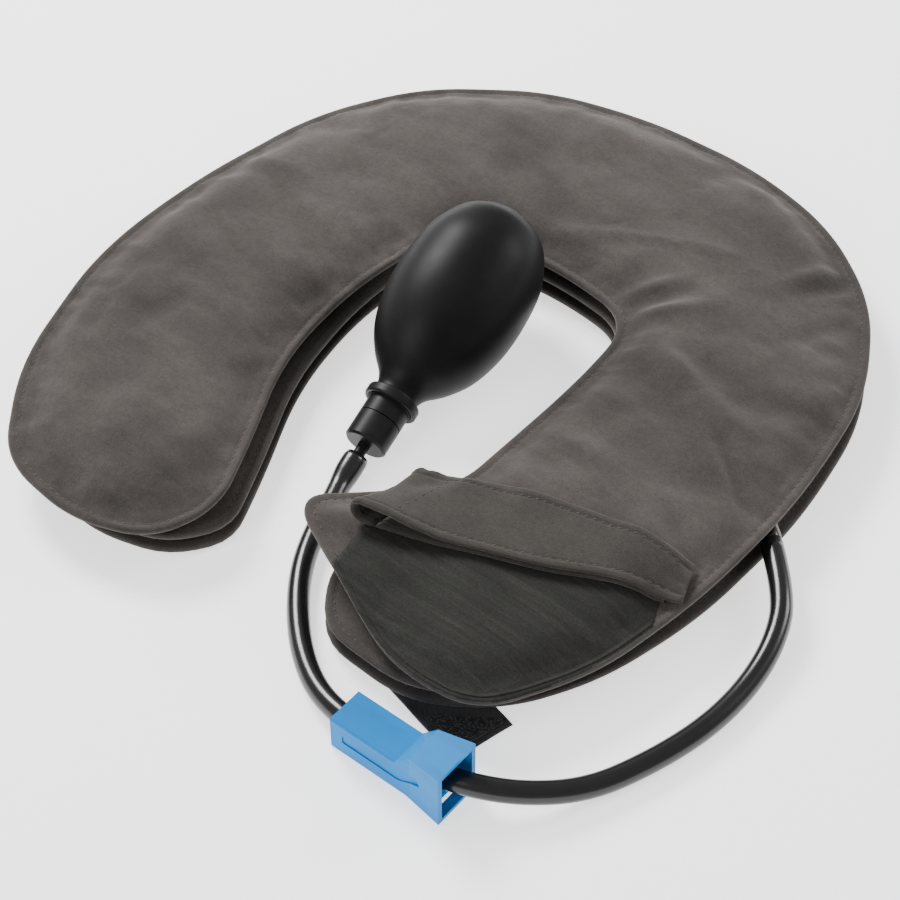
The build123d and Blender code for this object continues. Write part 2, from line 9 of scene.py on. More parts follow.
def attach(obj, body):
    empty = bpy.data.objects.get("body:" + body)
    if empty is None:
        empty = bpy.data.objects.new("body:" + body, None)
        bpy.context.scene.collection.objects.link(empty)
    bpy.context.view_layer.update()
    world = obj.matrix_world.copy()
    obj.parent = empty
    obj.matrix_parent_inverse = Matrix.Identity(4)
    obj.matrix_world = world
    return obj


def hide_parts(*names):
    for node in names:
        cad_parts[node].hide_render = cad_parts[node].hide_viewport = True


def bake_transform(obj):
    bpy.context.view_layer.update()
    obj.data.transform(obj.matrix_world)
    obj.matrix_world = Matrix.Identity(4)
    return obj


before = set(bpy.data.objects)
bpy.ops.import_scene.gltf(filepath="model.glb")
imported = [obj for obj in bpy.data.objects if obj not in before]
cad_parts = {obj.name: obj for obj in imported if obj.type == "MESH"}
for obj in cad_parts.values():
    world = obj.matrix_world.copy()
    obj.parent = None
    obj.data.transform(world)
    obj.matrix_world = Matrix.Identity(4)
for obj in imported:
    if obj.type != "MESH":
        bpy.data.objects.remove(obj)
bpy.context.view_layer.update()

MM = 0.001


# ---------- camera ----------

def linked(name, data):
    """A new object in the scene."""
    obj = bpy.data.objects.new(name, data)
    bpy.context.collection.objects.link(obj)
    return obj


def camera():
    azimuth, elevation = math.radians(39.0), math.radians(46.5)
    distance = 0.850
    target = Vector((21.6, -31.9, 0.0)) * MM
    back = Vector((
        math.sin(azimuth) * math.cos(elevation),
        -math.cos(azimuth) * math.cos(elevation),
        math.sin(elevation),
    ))
    data = bpy.data.cameras.new("camera")
    data.lens = 93.5
    data.clip_end = 20.0
    cam = linked("camera", data)
    cam.rotation_mode = "QUATERNION"
    cam.location = target + back * distance
    cam.rotation_quaternion = (-back).to_track_quat("-Z", "Y")
    bpy.context.scene.camera = cam


camera()


# ---------- small helpers ----------

def add_mesh(name, vertices, faces, material):
    """A new smooth-shaded object from points in millimetres."""
    mesh = bpy.data.meshes.new(name)
    mesh.from_pydata([tuple(MM * float(c) for c in v) for v in vertices], [], faces)
    work = bmesh.new()
    work.from_mesh(mesh)
    bmesh.ops.remove_doubles(work, verts=work.verts, dist=0.00002)
    bmesh.ops.recalc_face_normals(work, faces=work.faces)
    work.to_mesh(mesh)
    work.free()
    for face in mesh.polygons:
        face.use_smooth = True
    mesh.materials.append(material)
    return linked(name, mesh)


def ring_faces(rings, around):
    """Quads of a skin made of rings of points, each joined to the next and the last to the first."""
    faces = []
    for i in range(rings):
        following = (i + 1) % rings
        for k in range(around):
            m = (k + 1) % around
            faces.append((i * around + k, i * around + m, following * around + m, following * around + k))
    return faces


def sheet_faces(rows, columns):
    """Quads over a grid of points, and over a second grid that comes after it and lies under it."""
    under = rows * columns
    faces = []
    for i in range(rows - 1):
        for a in range(i * columns, (i + 1) * columns - 1):
            faces.append((a, a + 1, a + columns + 1, a + columns))
            faces.append((under + a, under + a + columns, under + a + columns + 1, under + a + 1))
    return faces


def end_faces(rows, columns, row):
    """Quads that join the two grids of sheet_faces along one row."""
    under = rows * columns
    return [(a, a + 1, under + a + 1, under + a) for a in range(row * columns, (row + 1) * columns - 1)]


def turned(name, outline, around, place, axes, material):
    """A solid of revolution from (radius, along) points; its axes point along, sideways and up."""
    along, side, up = axes
    angles = 2 * math.pi * np.arange(around) / around
    vertices = [
        place + along * s + radius * (math.cos(a) * side + math.sin(a) * up)
        for radius, s in outline for a in angles
    ]
    return add_mesh(name, vertices, ring_faces(len(outline), around), material)


def distance_along(line):
    """How far along a line each of its points lies."""
    return np.concatenate(([0], np.cumsum(np.linalg.norm(np.diff(line, axis=0), axis=1))))


def plan_axes(degrees):
    """Directions along and across something that lies at an angle in the plan."""
    angle = math.radians(degrees)
    return np.array((math.cos(angle), math.sin(angle))), np.array((-math.sin(angle), math.cos(angle)))


def ease(value):
    """A smooth step from 0 to 1."""
    value = np.clip(value, 0, 1)
    return value * value * (3 - 2 * value)


def bell(value, width):
    """1 at zero, falling off over a width."""
    return np.exp(-(value / width) ** 2 / 2)


def flat_noise(points, scale, seed, octaves=3):
    """Smooth noise over the plan, about -1 to 1, from points in millimetres."""
    return np.array([
        noise.fractal(Vector((x / scale, y / scale, seed)), 0.8, 2.1, octaves)
        for x, y in points
    ])


def along_segment(points, start, end):
    """Distance from a segment, and the share along it, for points in the plan."""
    start, end = np.array(start, float), np.array(end, float)
    run = end - start
    share = np.clip((points - start) @ run / (run @ run), 0, 1)
    return np.linalg.norm(points - (start + share[:, None] * run), axis=1), share


# ---------- materials ----------

class Shader:
    """A Principled material with a few node shortcuts."""

    def __init__(self, name, **sockets):
        self.material = bpy.data.materials.new(name)
        self.material.use_nodes = True
        self.tree = self.material.node_tree
        self.surface = self.tree.nodes["Principled BSDF"]
        self.coordinates = self.tree.nodes.new("ShaderNodeTexCoord").outputs["Object"]
        self.bump = None
        for socket, value in sockets.items():
            self.surface.inputs[socket.replace("_", " ")].default_value = value

    def node(self, kind, settings=(), **inputs):
        made = self.tree.nodes.new(kind)
        for key, value in dict(settings).items():
            setattr(made, key, value)
        for key, value in inputs.items():
            socket = made.inputs[key.replace("_", " ")]
            if isinstance(value, bpy.types.NodeSocket):
                self.tree.links.new(value, socket)
            else:
                socket.default_value = value
        return made

    def stretched(self, scale, turn=(0, 0, 0)):
        return self.node(
            "ShaderNodeMapping", Vector=self.coordinates, Scale=scale, Rotation=turn
        ).outputs["Vector"]

    def noise(self, scale, detail=3.0, rough=0.55, vector=None, distortion=0.0):
        return self.node(
            "ShaderNodeTexNoise", Vector=vector or self.coordinates, Scale=scale,
            Detail=detail, Roughness=rough, Distortion=distortion,
        ).outputs["Fac"]

    def ramp(self, factor, *stops):
        made = self.node("ShaderNodeValToRGB", Fac=factor)
        marks = made.color_ramp.elements
        while len(marks) < len(stops):
            marks.new(0.5)
        for mark, (place, colour) in zip(marks, stops):
            mark.position = place
            mark.color = (*colour, 1) if hasattr(colour, "__len__") else (colour,) * 3 + (1,)
        return made.outputs["Color"]

    def mix(self, kind, factor, a, b):
        made = self.tree.nodes.new("ShaderNodeMix")
        made.data_type = "RGBA"
        made.blend_type = kind
        for socket, value in ((made.inputs[0], factor), (made.inputs[6], a), (made.inputs[7], b)):
            if isinstance(value, bpy.types.NodeSocket):
                self.tree.links.new(value, socket)
            elif hasattr(value, "__len__"):
                socket.default_value = (*value, 1)
            else:
                socket.default_value = value
        return made.outputs[2]

    def colour(self, socket):
        self.tree.links.new(socket, self.surface.inputs["Base Color"])

    def rough(self, factor, low, high):
        made = self.node("ShaderNodeMapRange", Value=factor, To_Min=low, To_Max=high)
        self.tree.links.new(made.outputs["Result"], self.surface.inputs["Roughness"])

    def relief(self, height, distance, strength):
        """Adds a bump, its distance in millimetres, on top of the ones before."""
        made = self.node("ShaderNodeBump", Height=height, Distance=distance * MM, Strength=strength)
        if self.bump:
            self.tree.links.new(self.bump, made.inputs["Normal"])
        self.bump = made.outputs["Normal"]
        self.tree.links.new(self.bump, self.surface.inputs["Normal"])


def velour_material(name, dark, mid, light, sheen):
    """Short brushed pile: cloudy where it leans, with fine speckle and tufts."""
    shader = Shader(
        name, Roughness=0.95, Specular_IOR_Level=0.15,
        Sheen_Weight=sheen, Sheen_Roughness=0.45, Sheen_Tint=(0.95, 0.9, 0.86, 1),
    )
    clouds = shader.noise(11, 7, 0.56, distortion=0.5)
    brushed = shader.noise(30, 6, 0.62, shader.stretched((1.0, 2.4, 1.0), (0, 0, 0.6)), 0.4)
    patches = shader.mix("MIX", 0.4, clouds, brushed)
    base = shader.ramp(patches, (0.36, dark), (0.5, mid), (0.66, light))
    nap = shader.noise(2100, 3, 0.6)
    speckle = shader.ramp(nap, (0.35, 0.8), (0.62, 1.14))
    tufts = shader.noise(480, 4, 0.65)
    tufted = shader.ramp(tufts, (0.35, 0.9), (0.65, 1.07))
    shader.colour(shader.mix("MULTIPLY", 1.0, shader.mix("MULTIPLY", 1.0, base, speckle), tufted))
    shader.relief(shader.noise(110, 4, 0.6), 0.45, 0.4)
    shader.relief(tufts, 0.3, 0.5)
    shader.relief(nap, 0.2, 0.6)
    return shader.material


def loop_fabric_material():
    """Flat brushed loop fabric, with long pale strokes across it."""
    shader = Shader(
        "loop_fabric", Roughness=0.85, Specular_IOR_Level=0.2, Sheen_Weight=0.1, Sheen_Roughness=0.4
    )
    strokes = shader.noise(80, 7, 0.78, shader.stretched((0.16, 3.6, 1.0), (0, 0, -0.25)), 0.9)
    base = shader.ramp(
        strokes, (0.36, (0.0125, 0.0125, 0.0108)), (0.55, (0.0195, 0.0193, 0.017)),
        (0.64, (0.027, 0.0266, 0.0235)), (0.71, (0.052, 0.051, 0.0455)),
    )
    loops = shader.noise(1400, 3, 0.6)
    shader.colour(shader.mix("MULTIPLY", 1.0, base, shader.ramp(loops, (0.35, 0.75), (0.65, 1.2))))
    shader.relief(strokes, 0.4, 0.5)
    shader.relief(loops, 0.22, 0.6)
    return shader.material


def webbing_material(name, dark, light):
    """Woven strap: fine ribs across, with a little fluff."""
    shader = Shader(name, Roughness=0.88, Sheen_Weight=0.2)
    ribs = shader.node(
        "ShaderNodeTexWave", {"bands_direction": "DIAGONAL"}, Vector=shader.coordinates, Scale=260,
        Distortion=1.2, Detail=2,
    ).outputs["Fac"]
    fluff = shader.noise(900, 4, 0.65)
    base = shader.ramp(shader.noise(70, 5, 0.6), (0.35, dark), (0.7, light))
    shader.colour(shader.mix("MULTIPLY", 0.8, base, shader.ramp(fluff, (0.3, 0.6), (0.7, 1.35))))
    shader.relief(ribs, 0.2, 0.5)
    shader.relief(fluff, 0.25, 0.6)
    return shader.material


def hook_material():
    """Hook tape: small pale hooks over a dark ground."""
    shader = Shader("hooks", Roughness=0.6)
    cells = shader.node(
        "ShaderNodeTexVoronoi", {"feature": "F1"}, Vector=shader.coordinates, Scale=1150, Randomness=1.0
    ).outputs["Distance"]
    tangle = shader.ramp(shader.noise(520, 5, 0.7), (0.38, 0.45), (0.64, 1.6))
    bristle = shader.ramp(cells, (0.1, (0.040, 0.038, 0.034)), (0.6, (0.010, 0.0096, 0.009)))
    shader.colour(shader.mix("MULTIPLY", 1.0, bristle, tangle))
    shader.relief(shader.ramp(cells, (0.05, 1.0), (0.6, 0.0)), 0.5, 0.7)
    return shader.material


def rubber_material(name, rough_low, rough_high, coat, specular=0.25):
    """Black rubber, a little uneven in gloss and shape."""
    shader = Shader(name, Specular_IOR_Level=specular, Coat_Weight=coat, Coat_Roughness=0.25)
    worn = shader.noise(45, 5, 0.6)
    shader.colour(shader.ramp(worn, (0.35, (0.004, 0.004, 0.0043)), (0.75, (0.008,) * 3)))
    shader.rough(shader.noise(120, 4, 0.6), rough_low, rough_high)
    shader.relief(shader.noise(700, 3, 0.5), 0.05, 0.25)
    shader.relief(shader.noise(30, 2, 0.5), 0.35, 0.15)
    return shader.material


def fitting_material():
    shader = Shader("fitting_plastic", Specular_IOR_Level=0.16)
    worn = shader.noise(90, 4, 0.6)
    shader.colour(shader.ramp(worn, (0.35, (0.006, 0.006, 0.0065)), (0.75, (0.012, 0.012, 0.0125))))
    shader.rough(worn, 0.32, 0.5)
    shader.relief(shader.noise(1100, 2, 0.5), 0.04, 0.3)
    return shader.material


def clamp_material():
    """Waxy blue moulded plastic, its colour a little uneven where it flowed."""
    shader = Shader("clamp_plastic", Specular_IOR_Level=0.08)
    flow = shader.noise(60, 4, 0.55, shader.stretched((0.5, 1.4, 1.4)))
    shader.colour(shader.ramp(flow, (0.3, (0.0, 0.150, 0.43)), (0.7, (0.0, 0.200, 0.54))))
    shader.rough(shader.noise(160, 3, 0.5), 0.26, 0.42)
    shader.relief(shader.noise(380, 3, 0.5), 0.08, 0.25)
    return shader.material


def film_material():
    shader = Shader("bladder_film", Roughness=0.5)
    shader.colour(shader.ramp(shader.noise(80, 3), (0.3, (0.42, 0.42, 0.4)), (0.7, (0.55, 0.55, 0.52))))
    shader.relief(shader.noise(500, 3), 0.15, 0.4)
    return shader.material


def steel_material():
    shader = Shader("ball_steel", Metallic=1.0)
    shader.colour(shader.ramp(shader.noise(300, 3), (0.3, 0.52), (0.7, 0.62)))
    shader.rough(shader.noise(900, 3), 0.2, 0.32)
    return shader.material


VELOUR = velour_material(
    "velour", (0.034, 0.0298, 0.027), (0.050, 0.0442, 0.0402), (0.071, 0.0633, 0.058), 0.24
)
VELOUR_STRAP = velour_material(
    "strap_velour", (0.028, 0.025, 0.0222), (0.038, 0.0342, 0.0305), (0.051, 0.046, 0.0415), 0.2
)
THREAD = webbing_material("thread", (0.034, 0.030, 0.027), (0.052, 0.046, 0.042))
LOOP = loop_fabric_material()
WEBBING = webbing_material("strap_webbing", (0.009, 0.0085, 0.008), (0.026, 0.024, 0.022))
HOOKS = hook_material()
HOSE = rubber_material("hose_rubber", 0.2, 0.3, 0.4)
BULB = rubber_material("bulb_rubber", 0.4, 0.5, 0.0, 0.12)
SEAL = rubber_material("seal_rubber", 0.55, 0.7, 0.0)
FITTING = fitting_material()
CLAMP = clamp_material()
FILM = film_material()
STEEL = steel_material()


# ---------- the air hose ----------

HOSE_RADIUS = 4.0
HOSE_BORE = 2.3  # inner radius
HOSE_ROUTE = [
    (1.9, -60.4, 7.0), (3.2, -70.2, 4.0), (8.0, -82.5, 4.0), (12.8, -97.5, 4.0), (20.5, -112.5, 4.0),
    (32.0, -127.0, 4.0), (45.5, -139.5, 4.0), (60.5, -148.3, 4.8), (78.0, -152.2, 7.4),
    (100.5, -153.2, 8.2), (120.5, -150.8, 11.0), (138.0, -141.0, 9.4), (152.0, -123.5, 4.8),
    (161.0, -101.5, 4.0), (167.0, -79.0, 4.0), (168.3, -57.0, 4.4), (165.6, -37.0, 7.0),
    (158.0, -20.5, 10.2), (141.5, -4.0, 10.2),
]
# the port's rubber sleeve: radius, and distance inwards from the hose's end
SLEEVE_SHAPE = [
    (3.4, 0.0), (3.75, 0.1), (3.95, 0.6), (3.97, 3), (3.9, 8), (3.8, 13), (3.3, 13.4),
    (HOSE_BORE, 13.4), (HOSE_BORE, 0),
]
UP = np.array((0, 0, 1.0))


def smooth_line(points):
    """Points read from the NURBS line that has these control points."""
    data = bpy.data.curves.new("route", "CURVE")
    data.dimensions = "3D"
    spline = data.splines.new("NURBS")
    spline.points.add(len(points) - 1)
    for mark, point in zip(spline.points, points):
        mark.co = (*(MM * c for c in point), 1)
    spline.order_u = 3
    spline.use_endpoint_u = True
    spline.resolution_u = 10
    holder = linked("route", data)
    mesh = bpy.data.meshes.new_from_object(holder)
    line = np.array([v.co for v in mesh.vertices]) / MM
    bpy.data.objects.remove(holder)
    bpy.data.meshes.remove(mesh)
    return line


def tube_frames(line):
    """Two cross directions at each point of a line, without twist."""
    tangents = np.gradient(line, axis=0)
    tangents /= np.linalg.norm(tangents, axis=1)[:, None]
    side = np.cross(tangents[0], UP)
    sides = []
    for tangent in tangents:
        side = side - tangent * (side @ tangent)
        side = side / np.linalg.norm(side)
        sides.append(side)
    sides = np.array(sides)
    return sides, np.cross(sides, tangents)


def port_sleeve():
    """The rubber sleeve that takes the hose in between the layers, in line with the hose's end."""
    mouth, before = np.array(HOSE_ROUTE[-1]), np.array(HOSE_ROUTE[-2])
    inward = (mouth - before) * (1, 1, 0)
    inward /= np.linalg.norm(inward)
    side = np.array((-inward[1], inward[0], 0))
    obj = turned("hose_port_sleeve", SLEEVE_SHAPE, 32, mouth, (inward, side, UP), HOSE)
    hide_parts("hose_port")
    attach(obj, "lower_interface")
    return obj


def hose(sleeve):
    """The air hose from the pump's nipple to the sleeve, as one hollow tube."""
    line = smooth_line(HOSE_ROUTE)
    sides, ups = tube_frames(line)
    run = distance_along(line)
    # the end stretches over the nipple's barb, with a thin lip at its mouth
    radius = HOSE_RADIUS + 0.75 * ease((15 - run) / 9) - 0.5 * ease((1.6 - run) / 1.6)
    around = 28
    angles = np.linspace(0, 2 * math.pi, around, endpoint=False)
    outside = list(enumerate(radius))
    inside = [(i, HOSE_BORE) for i in range(len(line))]
    rings = outside + inside[::-1]
    vertices = [
        line[i] + size * (np.cos(a) * sides[i] + np.sin(a) * ups[i])
        for i, size in rings for a in angles
    ]
    obj = add_mesh("air_hose_rubber", vertices, ring_faces(len(rings), around), HOSE)
    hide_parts("air_hose")
    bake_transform(obj)


hose(port_sleeve())


# ---------- outlines of the three covers ----------

BACK = [
    (-140, 6), (-130, 67), (-107, 109), (-67.5, 138.5), (-24, 150.2),
    (31, 151.2), (73, 139.7), (108, 113.5), (132.2, 71.5), (141.3, 16),
]
TOP_OUTLINE = BACK + [
    (140.3, -44), (131, -94), (111, -129.5), (79, -132), (44, -118), (10, -103), (24, -77), (45, -57),
    (46.5, 8), (43, 49), (2, 55), (-41, 50), (-49.5, 4), (-45, -45), (-24, -89),
    (-11.5, -116), (-21.5, -142), (-50, -152), (-87.5, -147.5), (-118.5, -109.5), (-139.3, -48),
]
LOWER_OUTLINE = BACK + [
    (139, -42), (128.5, -84), (111, -114), (84, -132), (45.5, -130), (30.5, -108), (32, -84), (46, -58),
    (46.5, 8), (43, 49), (2, 55), (-41, 48), (-47.5, 0), (-39, -46), (-20, -86),
    (-7.5, -116), (-21, -135.5), (-50, -144), (-85, -136), (-116, -101), (-138.5, -46),
]
# the middle layer is drawn in a little along the right side
MIDDLE_OUTLINE = (
    LOWER_OUTLINE[:7] + [(105, 111), (128, 70.5), (136.5, 16), (134.5, -40), (127, -82)]
    + LOWER_OUTLINE[12:]
)
# points across the arm from each other, inside then outside, from the left tip to the right
PAIRS = [
    ((-52, -150), (-52, -150)), ((-24, -89), (-118, -112)), ((-46, -40), (-139, -48)),
    ((-47, 15), (-137, 20)), ((-40, 46), (-107, 109)), ((2, 54), (3, 151)), ((42, 47), (108, 113)),
    ((46, 5), (141, 10)), ((45, -55), (139, -55)), ((26, -78), (128, -98)), ((80, -131), (80, -131)),
]
MID = (3.3, 10.2, 17.1)  # height of each layer's seam
TOP = 2  # the top layer's number


OUTLINE_STEP = 1.5


def closed_outline(corners):
    """Evenly spaced points along an outline whose corners are eased."""
    corners = np.array(corners, float)
    points = []
    for before, corner, after in zip(np.roll(corners, 1, 0), corners, np.roll(corners, -1, 0)):
        arrive, leave = corner - before, after - corner
        reach = 0.45 * min(np.linalg.norm(arrive), np.linalg.norm(leave))
        start = corner - arrive / np.linalg.norm(arrive) * reach
        end = corner + leave / np.linalg.norm(leave) * reach
        for t in np.linspace(0, 1, 12):
            points.append((1 - t) ** 2 * start + 2 * t * (1 - t) * corner + t * t * end)
    points = np.array(points + points[:1])
    run = distance_along(points)
    marks = np.linspace(0, run[-1], int(run[-1] / OUTLINE_STEP), endpoint=False)
    return np.stack([np.interp(marks, run, points[:, k]) for k in (0, 1)], axis=1)


def rim_distance(points, outline):
    """Distance in the plan from each point to the outline."""
    ends = np.roll(outline, -1, 0)
    run = ends - outline
    best = np.full(len(points), 1e9)
    for start, step in zip(outline, run):
        share = np.clip((points - start) @ step / (step @ step), 0, 1)
        gap = points - start - share[:, None] * step
        best = np.minimum(best, np.einsum("ij,ij->i", gap, gap))
    return np.sqrt(best)


def stretch(outline, first, last, count):
    """count + 1 even points along the outline from index first to last, going forwards."""
    total = len(outline)
    reach = (last - first) % total
    marks = first + np.linspace(0, reach, count + 1)
    low = np.floor(marks).astype(int)
    part = (marks - low)[:, None]
    return outline[low % total] * (1 - part) + outline[(low + 1) % total] * part


RIM_RINGS = (0, 0.25, 0.6, 1.0, 1.5, 2.2, 2.9, 3.4, 3.9, 4.7, 6.0, 8.0, 10.5, 14.0, 18.0)


def arm_grid(outline, spacing, middle=18):
    """A grid of plan points over the C: rows across the arm, from the left tip to the right."""
    def nearest(point):
        return int(np.argmin(np.linalg.norm(outline - np.array(point), axis=1)))

    marks = [(nearest(a), nearest(b)) for a, b in PAIRS]
    total = len(outline)
    rows = []
    for (in_a, out_a), (in_b, out_b) in zip(marks, marks[1:]):
        longest = max((in_a - in_b) % total, (out_b - out_a) % total) * 1.5
        count = max(3, int(longest / spacing))
        inner = stretch(outline, in_b, in_a, count)[::-1]
        outer = stretch(outline, out_a, out_b, count)
        rows += list(zip(inner[:-1], outer[:-1]))
    rows.append((outline[marks[-1][0]], outline[marks[-1][1]]))
    grid = []
    for inner, outer in rows:
        width = np.linalg.norm(outer - inner)
        scale = min(1.0, width / 48)
        edge = np.array(RIM_RINGS) * scale
        core = np.linspace(edge[-1], width - edge[-1], middle + 2)[1:-1]
        places = np.concatenate((edge, core, (width - edge)[::-1]))
        share = places / width if width > 1e-6 else np.zeros(len(places))
        grid.append(inner + share[:, None] * (outer - inner))
    return np.array(grid)


# ---------- the shape of the top cover's upper side ----------

# soft folds, each from a start to an end in the plan: height, half width
FOLDS = [
    # round the neck opening's right corner
    ((38, 43), (66, 70), 1.2, 2.8), ((35, 47), (57, 74), -1.5, 3.6), ((31, 51), (50, 78), 1.0, 2.6),
    ((-7, 68), (39, 92), 0.8, 2.4), ((38, 92), (60, 98), 0.8, 2.4), ((50, 38), (118, 18), 1.9, 6.5),
    ((59, 41), (90, 27), 1.0, 3.6), ((52, 22), (96, 6), -1.2, 6.0), ((46, -8), (74, 16), 0.9, 4.5),
    # the right arm's outer side
    ((96, 130), (76, 92), 1.2, 3.4), ((101, 122), (84, 92), -1.4, 3.2), ((112, 106), (99, 74), -1.3, 3.4),
    ((108, 12), (136, -10), -2.0, 2.8), ((98, 14), (126, -8), 1.3, 4.2), ((130, 74), (120, 50), 1.1, 3.2),
    ((96, 30), (126, 44), -1.0, 6.5), ((58, -19), (88, -20), 1.0, 4.4), ((46, -34), (84, -56), 1.1, 6.0),
    ((112, -26), (136, -40), -1.3, 4.4), ((104, -18), (118, -60), 1.1, 6.0),
    # the back
    ((-77, 109), (-38, 117), 0.9, 6.0), ((-36, 129), (6, 131), 0.8, 4.6), ((19, 141), (60, 132), 0.8, 4.0),
    ((-6, 56), (-14, 90), -1.0, 7.0), ((62, 112), (96, 84), -0.9, 8.0), ((20, 56), (30, 84), 1.0, 5.0),
    # the left arm
    ((-49, 18), (-58, -6), 1.2, 3.2), ((-46, 2), (-58, -25), -1.0, 3.2), ((-47, -12), (-56, -38), 1.0, 3.2),
    ((-126, 27), (-104, 27), 0.9, 4.2), ((-96, 18), (-72, 13), 0.9, 4.4), ((-32, 54), (-58, 84), 1.0, 7.0),
    ((-68, -126), (-64, -80), 0.9, 7.5), ((-98, -76), (-86, -44), -0.9, 6.0),
    ((-33, -82), (-47, -117), 0.9, 6.0), ((-48, 30), (-82, 52), -1.0, 6.0),
    ((-128, -20), (-100, -34), 0.8, 6.0),
]
FOLD_DEPTH = 1.35
FOLD_SHARPNESS = 0.8
CORNER = ((10, -104), (36, -115))  # the front edge of the right arm's end, which stands up
CORNER_LIFT = 9.5


def corner_lift(points):
    """How far the right arm's free corner is lifted."""
    away, share = along_segment(points, *CORNER)
    return CORNER_LIFT * bell(away, 15.0) * (1 - 0.35 * share)


def upper_relief(points, away):
    """How far the top cover's upper side stands over its flat height."""
    inland = ease((away - 3.0) / 9.0)
    height = np.zeros(len(points))
    for start, end, tall, wide in FOLDS:
        gap, share = along_segment(points, start, end)
        swell = np.sin(math.pi * (0.12 + 0.83 * share))
        height += FOLD_DEPTH * tall * bell(gap, FOLD_SHARPNESS * wide) * swell
    height += 1.0 * flat_noise(points, 46.0, 1.7)
    height += 0.35 * flat_noise(points, 17.0, 5.1)
    height += settled_rise(points)
    crown = 1.6 * ease(away / 34.0)
    # short puckers drawn in by the seam
    pucker = flat_noise(points, 8.0, 9.3, 2) * bell(away - 6.0, 5.0)
    return inland * (height + crown) + 0.8 * pucker * ease(away / 4.0)


def rim_wave(points, level):
    """The seam's own slow rise and fall."""
    return 0.55 * flat_noise(points, 60.0, 20.0 + 7 * level, 2)


SEAM_INSET = 3.4  # the rim's seam lies this far in
RIM_ROLL = 1.4  # radius of the cover's rolled edge
FULL_HALF = 3.22  # half the cover's thickness where it is full


def half_thickness(away):
    """Half the cover's thickness at a distance from its rim: a rolled edge, a sewn groove, a swell."""
    edge = np.sqrt(np.maximum(RIM_ROLL ** 2 - np.maximum(RIM_ROLL - away, 0) ** 2, 0))
    groove = 0.42 * bell(away - SEAM_INSET, 0.45)
    return edge - groove + (FULL_HALF - RIM_ROLL) * ease((away - 3.6) / 13.0)


SHEET_STEP = 4.0
SHEET_SPARE = 0.03  # the fabric is cut this much larger than the flat cover
SHEET_X = np.arange(-148.0, 150.0, SHEET_STEP)
SHEET_Y = np.arange(-160.0, 160.0, SHEET_STEP)
SETTLE_FRAMES = 20
RISE_CAP, SINK_CAP = 2.6, 1.4  # the settled fabric goes no further up and down than this
HELD_MARGIN = 6.0  # the fabric is held by the rim's seam up to here


def inside_outline(points, outline):
    """Which plan points lie inside a closed outline."""
    x, y = points.T
    inside = np.zeros(len(points), bool)
    for (x0, y0), (x1, y1) in zip(outline, np.roll(outline, -1, 0)):
        crosses = (y0 > y) != (y1 > y)
        if crosses.any():
            inside ^= crosses & (x < x0 + (y - y0) / (y1 - y0) * (x1 - x0))
    return inside


def cloth_sheet(plan, rise, away):
    """A sheet of cloth over lattice points, held near its rim and blown up a little from below."""
    index = {v: k for k, v in enumerate(plan)}
    row = len(SHEET_Y)
    corners = [(v, v + row, v + row + 1, v + 1) for v in plan]
    faces = [tuple(index[v] for v in four) for four in corners if all(v in index for v in four)]
    vertices = [(SHEET_X[v // row] * MM, SHEET_Y[v % row] * MM, z * MM) for v, z in zip(plan, rise)]
    mesh = bpy.data.meshes.new("settling_fabric")
    mesh.from_pydata(vertices, [], faces)
    sheet = linked("settling_fabric", mesh)
    held = sheet.vertex_groups.new(name="held")
    held.add([k for k, gap in enumerate(away) if gap < HELD_MARGIN], 1.0, "REPLACE")
    cloth = sheet.modifiers.new("settle", "CLOTH")
    settings = cloth.settings
    settings.quality = 6
    settings.mass = 0.15
    settings.tension_stiffness = 15
    settings.compression_stiffness = 15
    settings.bending_stiffness = 0.02
    settings.vertex_group_mass = held.name
    settings.use_pressure = True
    settings.uniform_pressure_force = 4.0
    settings.effector_weights.gravity = 0.0
    settings.shrink_min = -SHEET_SPARE
    settings.shrink_max = -SHEET_SPARE
    cloth.point_cache.frame_end = SETTLE_FRAMES
    return sheet


def settle_fabric(outline):
    """The top cover's upper fabric as cloth, held at its rim: its rise, on a square lattice."""
    lattice = np.array([(x, y) for x in SHEET_X for y in SHEET_Y])
    rise = np.zeros(len(lattice))
    away = rim_distance(lattice, outline)
    used = np.nonzero(inside_outline(lattice, outline) & (away > 1.0))[0]
    start = 0.9 * flat_noise(lattice[used], 26.0, 3.3) * ease(away[used] / 12)
    sheet = cloth_sheet(used, start, away[used])
    for frame_number in range(1, SETTLE_FRAMES + 1):
        bpy.context.scene.frame_set(frame_number)
    settled = sheet.evaluated_get(bpy.context.evaluated_depsgraph_get()).data
    z = np.array([v.co.z for v in settled.vertices]) / MM
    rise[used] = np.where(z > 0, RISE_CAP * np.tanh(z / RISE_CAP), SINK_CAP * np.tanh(z / SINK_CAP))
    bpy.data.objects.remove(sheet)
    bpy.context.scene.frame_set(1)
    rise = rise.reshape(len(SHEET_X), len(SHEET_Y))
    # evened out once over the neighbours, as the pile does
    wide = np.pad(rise, 1, mode="edge")
    return 0.5 * rise + 0.125 * (wide[:-2, 1:-1] + wide[2:, 1:-1] + wide[1:-1, :-2] + wide[1:-1, 2:])


def settled_rise(points):
    """The settled fabric's rise at points in the plan."""
    u = (points[:, 0] - SHEET_X[0]) / SHEET_STEP
    v = (points[:, 1] - SHEET_Y[0]) / SHEET_STEP
    i = np.clip(u.astype(int), 0, len(SHEET_X) - 2)
    j = np.clip(v.astype(int), 0, len(SHEET_Y) - 2)
    u, v = ease(u - i), ease(v - j)
    low = SETTLED[i, j] * (1 - v) + SETTLED[i, j + 1] * v
    high = SETTLED[i + 1, j] * (1 - v) + SETTLED[i + 1, j + 1] * v
    return low * (1 - u) + high * u


